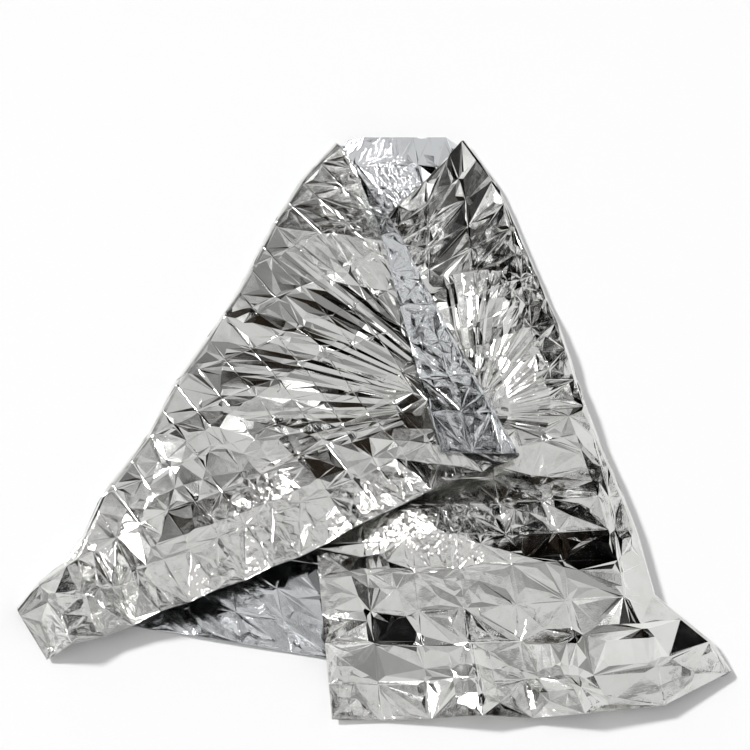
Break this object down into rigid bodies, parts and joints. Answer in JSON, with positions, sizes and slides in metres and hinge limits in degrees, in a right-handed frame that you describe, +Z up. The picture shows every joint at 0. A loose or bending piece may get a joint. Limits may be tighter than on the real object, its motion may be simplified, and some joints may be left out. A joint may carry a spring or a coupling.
{
  "type": "emergency foil blanket",
  "caption": "Rescue blanket of silver metallised film with pack creases, folded over as a slipped-off cape with a turned-out lapel and pleats.",
  "frame": {"origin": "a point on the underside of the flat back, near the middle of the laid cape, on the floor", "axes": "+Z up from the floor, +Y from the hem towards the neck edge, +X along the hem towards the right side as it is seen from the hem"},
  "size_m": [1.3828, 1.4007, 0.0892],
  "materials": {
    "silver_film": "thin aluminium-coated polyester film, bright silver and nearly a mirror, with sharp pack creases and a fine crinkle"
  },
  "bodies": {
    "root": {"foil_sheet": "silver_film"}
  },
  "joints": []
}
